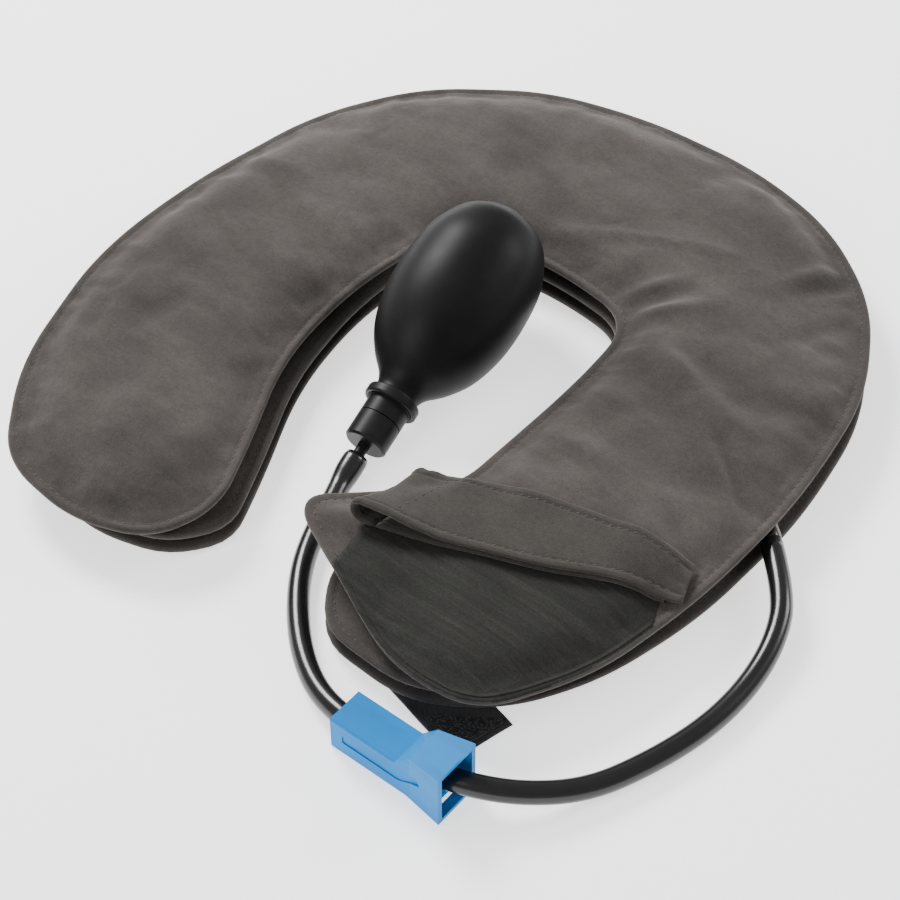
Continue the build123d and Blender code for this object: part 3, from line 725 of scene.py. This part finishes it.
def cover_heights(points, level):
    """Heights of the lower and upper side of a cover at points in the plan."""
    away = rim_distance(points, OUTLINES[level])
    half = half_thickness(away)
    rim_share = 1 - ease((away - 4) / 20)
    middle = MID[level] + rim_wave(points, level) * rim_share
    low, high = middle - half, middle + half
    if level == TOP:
        lift = corner_lift(points)
        high = high + upper_relief(points, away) + lift
        low = low + lift
    return low, high


OUTLINES = [closed_outline(corners) for corners in (LOWER_OUTLINE, MIDDLE_OUTLINE, TOP_OUTLINE)]
SETTLED = settle_fabric(OUTLINES[TOP])


def cushion(name, grid, low, high, material):
    """A closed mesh from a grid in the plan and its two heights."""
    plan = grid.reshape(-1, 2)
    vertices = [(*p, z) for p, z in zip(plan, high)] + [(*p, z) for p, z in zip(plan, low)]
    return add_mesh(name, vertices, sheet_faces(*grid.shape[:2]), material)


STITCH_SIDES = 6
STITCH_MARKS = (0.06, 0.2, 0.39, 0.58, 0.72)  # share of the pitch at each ring of a stitch
STITCH_SIZES = (0.08, 0.26, 0.32, 0.26, 0.08)  # radius of each ring
STITCH_SINK = (-0.25, -0.07, 0.1, -0.07, -0.25)  # height of each ring's middle over the fabric


def thread_stitches(name, line, height, pitch, place):
    """Thread stitches along a plan line, lying on a surface whose height is given by a function."""
    run = distance_along(line)
    starts = np.linspace(0, run[-1], int(run[-1] / pitch), endpoint=False)
    marks = [(starts + pitch * share) % run[-1] for share in STITCH_MARKS]
    flat = [np.stack([np.interp(mark, run, line[:, k]) for k in (0, 1)], axis=1) for mark in marks]
    heights = [height(points) for points in flat]
    plans = [place(points) for points in flat]
    vertices, faces = [], []
    for n in range(len(starts)):
        heading = plans[-1][n] - plans[0][n]
        side = np.array((-heading[1], heading[0])) / np.linalg.norm(heading)
        first = len(vertices)
        for plan, z, size, sink in zip(plans, heights, STITCH_SIZES, STITCH_SINK):
            for angle in 2 * math.pi * np.arange(STITCH_SIDES) / STITCH_SIDES:
                across = plan[n] + side * size * math.cos(angle)
                vertices.append((*across, z[n] + sink + size * math.sin(angle)))
        last = len(vertices) - STITCH_SIDES
        for ring in range(first, last, STITCH_SIDES):
            for turn in range(STITCH_SIDES):
                a, b = ring + turn, ring + (turn + 1) % STITCH_SIDES
                faces.append((a, b, b + STITCH_SIDES, a + STITCH_SIDES))
        faces.append(tuple(reversed(range(first, first + STITCH_SIDES))))
        faces.append(tuple(range(last, last + STITCH_SIDES)))
    return add_mesh(name, vertices, faces, THREAD)


def edge_normals(outline):
    """Outward direction at each outline point."""
    run = np.roll(outline, -1, 0) - np.roll(outline, 1, 0)
    run /= np.linalg.norm(run, axis=1)[:, None]
    out = np.stack((run[:, 1], -run[:, 0]), axis=1)
    area = np.sum(outline[:, 0] * np.roll(outline[:, 1], -1) - np.roll(outline[:, 0], -1) * outline[:, 1])
    return out if area > 0 else -out


STRAP_LINE = ((53, -112), (113, -127.3))  # the lower strap's sewn part under the bottom cover
STRAP_ROOM = 1.75  # how far the underside stands off the floor there
FLOOR_GAP = 0.1
STITCH_PITCH = 3.1
FABRIC_ROOM = 0.8  # between the bladder and the cover's outside


def make_covers():
    """The three covers, each with its rim's stitches and the bladder inside."""
    for level, layer in enumerate(("bottom", "middle", "top")):
        outline = OUTLINES[level]
        grid = arm_grid(outline, 2.2, 30) if level == TOP else arm_grid(outline, 4.5)
        plan = grid.reshape(-1, 2)
        low, high = cover_heights(plan, level)
        if level == 0:
            # the underside makes room for the lower strap's sewn part
            gap = along_segment(plan, *STRAP_LINE)[0]
            low = np.maximum(low, FLOOR_GAP)
            low = np.maximum(low, STRAP_ROOM * (1 - ease((gap - 13.5) / 4)))
        cover = cushion(f"{layer}_cover", grid, low, high, VELOUR)
        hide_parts(f"{layer}_lower_panel", f"{layer}_upper_panel")
        seam = outline - edge_normals(outline) * SEAM_INSET
        thread = thread_stitches(
            f"{layer}_rim_stitches", np.vstack((seam, seam[:1])),
            lambda points: cover_heights(points, level)[1], STITCH_PITCH, lambda points: points,
        )
        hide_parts(f"{layer}_rim_binding")
        inner = cushion(f"{layer}_air_bladder", *bladder_shape(grid, level), FILM)
        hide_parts(f"{layer}_bladder")
        for piece in (cover, thread, inner):
            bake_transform(piece)


def bladder_shape(grid, level):
    """The bladder lies inside the cover, a little thinner and drawn in from the rim."""
    small = grid[6:-6:2, 9:-9]
    plan = small.reshape(-1, 2)
    away = rim_distance(plan, OUTLINES[level])
    low, high = cover_heights(plan, level)
    middle = (low + high) / 2
    inner = np.zeros(small.shape[:2])
    inner[1:-1, 1:-1] = 1
    half = np.maximum((high - low) / 2 - FABRIC_ROOM, 0.2) * ease((away - away.min()) / 9 + 0.15)
    return small, middle - inner.ravel() * half, middle + inner.ravel() * half


make_covers()


# ---------- straps ----------

STRAP_PLACE = np.array((33.0, -81.5))
STRAP_ALONG, STRAP_ACROSS = plan_axes(19.7)
FOLD_SLANT = 0.4  # how far the fold runs on along the strap, per unit across it
STRAP_THICK = 1.2
END_ROUND = 1.6  # how far the strap's cut ends are rounded off
FLAP_LENGTH = 108.0
FOLD_RADIUS = 3.3
# half the strap's thickness, as shares of its full one, at distances from its edge
EDGE_PLACES = np.array((0, 0.35, 0.9, 2.0, 3.0, 3.4, 3.8, 4.8))
HEMMED_EDGE = np.array((0, 0.5, 0.68, 0.72, 0.62, 0.28, 0.46, 0.45))
RAW_EDGE = np.array((0, 0.4, 0.5, 0.5, 0.5, 0.5, 0.5, 0.5))
HEM = 3.4  # the hem's stitches lie this far in


def strap_half(s):
    """Half the strap's width: even for half its length, then narrowing to its sewn end."""
    return 15.6 - 6.6 * ease((s - 50) / 62)


def strap_point(s, t):
    """Plan position from distances along and across the strap, whose fold is slanting."""
    along = s + FOLD_SLANT * t * (1 - ease(s / 60.0))
    return STRAP_PLACE + np.outer(along, STRAP_ALONG) + np.outer(t, STRAP_ACROSS)


def flap_height(s):
    """How far the folded flap lies over the cover: high at its fold, flush at its sewn end."""
    return 3.9 + 4.3 * (1 - ease((s - 3) / 34)) - 1.5 * ease((s - 80) / 28)


def hem_lift(s, t, z):
    """The flap's lower hem stands up near the fold, which opens the loop there."""
    return 2.4 * bell(s - 2.0, 14.0) * ease((-t - 2) / 13) * np.clip((z - 1.6) / 6.0, 0, 1)


def ground(s, t):
    """Height of the top cover under a point of the strap."""
    return cover_heights(strap_point(s, t), TOP)[1]


def strip(name, path, thickness, material, edge=HEMMED_EDGE, margin=0.0, lift=None):
    """A flat strap swept along a path of (along, height over the cover) pairs."""
    path = np.array(path, float)
    steps = distance_along(path)
    to_end = np.minimum(steps, steps[-1] - steps) / END_ROUND
    rounded = np.sqrt(np.clip(1 - (1 - np.clip(to_end, 0, 1)) ** 2, 0.0, 1))
    tangents = np.gradient(path, axis=0)
    tangents /= np.linalg.norm(tangents, axis=1)[:, None]
    normals = np.stack((-tangents[:, 1], tangents[:, 0]), axis=1)
    profile = thickness * np.concatenate((edge, np.full(9, 0.45), edge[::-1]))
    points = []
    for side in (1, -1):
        for (s, z), normal, full in zip(path, normals, rounded):
            wide = strap_half(s) - margin
            middle = np.linspace(wide - 6.5, 6.5 - wide, 9)
            across = np.concatenate((wide - EDGE_PLACES, middle, EDGE_PLACES[::-1] - wide))
            thick = side * full * profile
            points.append(np.stack((s + normal[0] * thick, across, z + normal[1] * thick), axis=1))
    columns = len(profile)
    points = np.concatenate(points)
    over = lift(*points.T) if lift else 0.0
    points[:, 2] += over + ground(points[:, 0], points[:, 1])
    plan = strap_point(points[:, 0], points[:, 1])
    vertices = [(*p, z) for p, z in zip(plan, points[:, 2])]
    faces = sheet_faces(len(path), columns)
    for row in (0, len(path) - 1):
        faces += end_faces(len(path), columns, row)
    return add_mesh(name, vertices, faces, material)


def flap_top(points):
    """Height of the flap's upper face at points in the strap's own directions."""
    s, t = points.T
    over = flap_height(s)
    return ground(s, t) + over + hem_lift(s, t, over) + 0.5


def strap_seams():
    """The flap's sewn lines: one along each hem, one across it near the fold, and the tack at its end."""
    marks = np.linspace(13, 104, 60)
    hem = np.array([strap_half(s) for s in marks]) - HEM
    tack = [(102.0 + 0.7 * (k % 2), 3.5 + 0.8 * k) for k in range(8)]
    lines = [
        ("upper_hem", np.stack((marks, hem), axis=1), 3.0),
        ("lower_hem", np.stack((marks, -hem), axis=1), 3.0),
        ("across", np.array(((15.0, 12.0), (12.0, -11.5))), 3.0),
        ("end_tack", np.array(tack), 0.8),
    ]
    for name, line, pitch in lines:
        seam = thread_stitches(
            f"upper_strap_{name}_stitches", line, flap_top, pitch, lambda points: strap_point(*points.T)
        )
        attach(seam, "strap_flap")


def flap_path():
    """The flap leaves the sewn ply, turns round an open fold and comes back over the ply."""
    path = [(8, 1.5), (6, 1.5), (4, 1.6)]
    for angle in np.radians(np.linspace(-80, 80, 15)):
        turned_back = FOLD_RADIUS * math.cos(angle)
        path.append((FOLD_RADIUS - turned_back, 1.6 + FOLD_RADIUS + FOLD_RADIUS * math.sin(angle)))
    back = np.concatenate((np.linspace(4.5, 106, 56), FLAP_LENGTH - np.array((1.4, 0.8, 0.4, 0.1, 0))))
    return path + [(s, flap_height(s)) for s in back]


def flap_hinge():
    """Start and end of the flap's hinge line, which leans with the cover under the fold."""
    place, reach = np.array([3.0]), 12.0
    low_side, middle, high_side = (ground(place, np.array([t]))[0] for t in (-reach, 0.0, reach))
    tilt = (high_side - low_side) / (2 * reach)
    slope = np.array((*(0.12 * STRAP_ALONG - tilt * STRAP_ACROSS), 1.0))
    foot = np.array((*STRAP_PLACE, 0.0))
    return [foot + slope * (middle + over) / (slope @ slope) for over in (2.2, 7.4)]


def upper_strap():
    """The upper strap: its sewn ply, the flap folded back over it, and the flap's hook tape."""
    ply_path = [(s, 1.5 - 0.6 * ease((s - 80) / 22)) for s in np.linspace(102, 8, 48)]
    ply = strip("upper_strap_sewn_ply", ply_path, STRAP_THICK, VELOUR_STRAP)
    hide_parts("upper_strap_base")
    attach(ply, "crown")
    flap = strip("upper_strap_folded_flap", flap_path(), STRAP_THICK, VELOUR_STRAP, lift=hem_lift)
    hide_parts("upper_strap_flap")
    start, end = flap_hinge()
    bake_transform(flap)
    strap_seams()
    tape_path = [(s, 2.7 - 0.9 * ease((s - 76) / 24)) for s in np.linspace(40, 99, 30)]
    tape = strip("upper_strap_hooks", tape_path, 0.9, HOOKS, RAW_EDGE, margin=3.0)
    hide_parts("upper_strap_hook_tape")
    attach(tape, "strap_flap")


upper_strap()


# the loop panel's straight edges in the strap's own directions: a point on each and its outward side
PANEL_EDGES = [((2, 0), (-1.0, 0.24)), ((0, 9), (0.0, 1.0)), ((100, 0), (1.0, 0.05))]
PANEL_RIM = 2.0  # the panel is sewn in this far from the rim
PANEL_THICK = 0.45
PANEL_SINK = 0.1  # the panel's underside sinks this far into the pile


def panel_edge(edge):
    """A panel edge's point and outward direction in the plan."""
    (s, t), (out_s, out_t) = edge
    return STRAP_PLACE + s * STRAP_ALONG + t * STRAP_ACROSS, out_s * STRAP_ALONG + out_t * STRAP_ACROSS


def on_panel(points):
    """Which plan points lie within the panel's straight edges, on the right arm's end."""
    held = points[:, 0] > 0
    for edge in PANEL_EDGES:
        place, out = panel_edge(edge)
        held &= (points - place) @ out < 0
    return held


def drawn_in(plan, away):
    """Plan points, with the ones past the panel's rim moved in to it."""
    step = 0.05
    slope = np.stack([
        rim_distance(plan + move, OUTLINES[TOP]) - rim_distance(plan - move, OUTLINES[TOP])
        for move in step * np.eye(2)
    ], axis=1)
    slope /= np.maximum(np.linalg.norm(slope, axis=1), 1e-7)[:, None]
    return plan + slope * np.maximum(PANEL_RIM - away, 0)[:, None]


def panel_sheet():
    """The panel as a single sheet on the cover, larger than its straight edges allow."""
    grid = arm_grid(OUTLINES[TOP], 1.6)
    rows, columns = grid.shape[:2]
    plan = grid.reshape(-1, 2)
    away = rim_distance(plan, OUTLINES[TOP])
    along, across = (plan - STRAP_PLACE) @ STRAP_ALONG, (plan - STRAP_PLACE) @ STRAP_ACROSS
    near = (across < 20) & (across > -75) & (along > -25) & (along < 125)
    faces = []
    for i in range(rows - 1):
        for a in range(i * columns, (i + 1) * columns - 1):
            four = [a, a + 1, a + columns + 1, a + columns]
            if near[four].all() and (away[four] > PANEL_RIM).any():
                faces.append(four)
    used = sorted({v for face in faces for v in face})
    index = {v: k for k, v in enumerate(used)}
    plan = drawn_in(plan[used], away[used])
    vertices = [(*point, z) for point, z in zip(plan, cover_heights(plan, TOP)[1])]
    return add_mesh("loop_end_panel_fabric", vertices, [tuple(index[v] for v in f) for f in faces], LOOP)


def loop_panel():
    """Loop panel sewn over the arm's end, up to the cover's rolled rim."""
    obj = panel_sheet()
    work = bmesh.new()
    work.from_mesh(obj.data)
    for edge in PANEL_EDGES:
        place, out = panel_edge(edge)
        bmesh.ops.bisect_plane(
            work, geom=list(work.verts) + list(work.edges) + list(work.faces), dist=1e-7,
            plane_co=(*(MM * place), 0), plane_no=(*out, 0), clear_outer=True,
        )
    for vert in work.verts:
        vert.co.z -= PANEL_SINK * MM
    result = bmesh.ops.extrude_face_region(work, geom=list(work.faces))
    for item in result["geom"]:
        if isinstance(item, bmesh.types.BMVert):
            item.co.z += PANEL_THICK * MM
    bmesh.ops.recalc_face_normals(work, faces=work.faces)
    work.to_mesh(obj.data)
    work.free()
    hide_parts("loop_end_panel")
    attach(obj, "crown")


def bind_panel_rim(*pieces):
    """The cover's rim and its stitches take the panel's dark fabric, as far down as they rise with it."""
    for piece in pieces:
        piece.data.materials.append(LOOP)
        middles = np.array([face.center[:2] for face in piece.data.polygons]) / MM
        bound = on_panel(middles) & (rim_distance(middles, OUTLINES[TOP]) < SEAM_INSET + 0.4)
        for face, dark in zip(piece.data.polygons, bound):
            lowest = min(piece.data.vertices[v].co.z for v in face.vertices) / MM
            face.material_index = int(dark and face.normal.z > 0.3 and lowest > MID[TOP] + 0.8)


loop_panel()
bind_panel_rim(bpy.data.objects["top_cover"], bpy.data.objects["top_rim_stitches"])


# the lower strap, which lies on the floor with its cut end at TAB_END
TAB_END = np.array((113.0, -127.3))
TAB_ALONG, TAB_ACROSS = plan_axes(-14.5)
TAB_HALF = 12.0
TAB_MIDDLE = 0.78  # height of its middle over the floor
TAB_TAPER = 1.2  # its cut end is rounded over this length


def lower_strap():
    """The lower strap's webbing, with a thicker band along both hems."""
    edge = np.array((0, 0.3, 0.8, 1.8, 2.6, 3.0, 3.4))
    profile = np.array((0, 0.55, 0.68, 0.7, 0.68, 0.5, 0.62))
    across = np.concatenate((TAB_HALF - edge, np.linspace(7.0, -7.0, 11), edge[::-1] - TAB_HALF))
    thick = np.concatenate((profile, np.full(11, 0.6), profile[::-1]))
    along = np.concatenate((np.linspace(-62, -30, 12), np.linspace(-28, -2.0, 27), (-1.2, -0.6, -0.2, 0.0)))
    taper = np.sqrt(np.clip(-along / TAB_TAPER, 0.0, 1.0))
    vertices = []
    for side in (1, -1):
        for a, scale in zip(along, taper):
            for t, half in zip(across, thick):
                wave = max(0.12 * math.sin(a * 0.5 + t * 0.3), -0.02)
                plan = TAB_END + a * TAB_ALONG + t * TAB_ACROSS
                vertices.append((*plan, TAB_MIDDLE + side * half * scale + wave))
    rows, columns = len(along), len(across)
    faces = sheet_faces(rows, columns) + end_faces(rows, columns, 0)
    strap = add_mesh("lower_strap_webbing", vertices, faces, WEBBING)
    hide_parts("lower_strap_base", "lower_strap_tab")
    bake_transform(strap)


lower_strap()


# ---------- bulb ----------

RING = np.array((-1.2, -37.2, 14.2))  # the middle of the bulb's neck ring
HEADING, TILT = math.radians(7.5), math.radians(17.0)
TAIL = np.array((-math.sin(HEADING) * math.cos(TILT), math.cos(HEADING) * math.cos(TILT), math.sin(TILT)))
SIDE = np.array((math.cos(HEADING), math.sin(HEADING), 0.0))
RISE = np.cross(SIDE, TAIL)
BULB_WALL = 1.9
MOUTH_BORE, TAIL_BORE = 6.2, 4.0  # inner radii
# the bulb's outside: radius, and distance from the ring
BULB_SHAPE = [
    (8.6, -2.0), (8.75, -0.6), (8.6, 1.6), (8.6, 4.0), (9.3, 6.2), (11, 9), (16.6, 15.5), (22, 25),
    (25.3, 38), (26, 52), (24.5, 67), (19.3, 79), (13.6, 84.6), (8.2, 87.4), (4.4, 88.2),
]


def even_line(points):
    """A smooth line through points in a plane."""
    points = np.array(points, float)
    padded = np.vstack((2 * points[0] - points[1], points, 2 * points[-1] - points[-2]))
    result = []
    for a, b, c, d in zip(padded, padded[1:], padded[2:], padded[3:]):
        for t in np.linspace(0, 1, 6, endpoint=False):
            result.append(0.5 * (2 * b + (c - a) * t + (2 * a - 5 * b + 4 * c - d) * t ** 2
                                 + (3 * b - a - 3 * c + d) * t ** 3))
    result.append(points[-1])
    return np.array(result)


def bulb():
    """The hand bulb, hollow from its neck to its tail."""
    outside = even_line(BULB_SHAPE)
    inside = [
        (max(radius - BULB_WALL, TAIL_BORE) if s > 0 else MOUTH_BORE, s)
        for radius, s in outside[::-1] if s < 86.0
    ]
    obj = turned("hand_bulb", list(outside) + inside, 96, RING, (TAIL, SIDE, RISE), BULB)
    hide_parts("bulb")
    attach(obj, "base")


# ---------- CAD nodes that stay, with their materials ----------

KEPT = {
    "bulb_neck_ring": FITTING, "valve_body": FITTING, "release_knob": FITTING, "hose_nipple": FITTING,
    "valve_seal": SEAL, "outlet_check_ball": STEEL, "inlet_check_ball": STEEL, "inlet_valve": FITTING,
    "clamp_housing": CLAMP, "clamp_roller": CLAMP, "clamp_roller_axle": CLAMP,
    "lower_air_rings": FILM, "upper_air_rings": FILM, "lower_strap_hook_tape": HOOKS,
}
for node, material in KEPT.items():
    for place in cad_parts[node].material_slots:
        place.material = material


# ---------- floor and light ----------

def studio():
    """Pale paper under the object, an even sky, and three soft lights."""
    paper = Shader(
        "floor_paper", Roughness=0.95, Base_Color=(0.93, 0.93, 0.93, 1),
        Emission_Color=(1, 1, 1, 1), Emission_Strength=1.25,
    )
    half = 3000
    corners = [(-half, -half, 0), (half, -half, 0), (half, half, 0), (-half, half, 0)]
    floor = add_mesh("floor", corners, [(0, 1, 2, 3)], paper.material)
    floor.location.z = -0.0002
    world = bpy.data.worlds.new("studio")
    bpy.context.scene.world = world
    world.use_nodes = True
    world.node_tree.nodes["Background"].inputs["Color"].default_value = (1, 1, 1, 1)
    world.node_tree.nodes["Background"].inputs["Strength"].default_value = 0.55
    # name, place, aim, width and power
    lights = [
        ("key", (-0.95, 0.25, 0.95), (0.0, 0.0, 0.02), 0.55, 30),
        ("fill", (-0.3, -1.2, 0.9), (0.0, -0.05, 0.02), 0.9, 11),
        ("back", (0.7, 1.0, 0.7), (0.0, 0.0, 0.02), 0.6, 9),
    ]
    for name, place, aim, size, power in lights:
        data = bpy.data.lights.new(name, "AREA")
        data.shape = "DISK"
        data.size = size
        data.energy = power
        lamp = linked(name, data)
        lamp.location = place
        lamp.rotation_mode = "QUATERNION"
        lamp.rotation_quaternion = (Vector(aim) - Vector(place)).to_track_quat("-Z", "Y")


bulb()
studio()
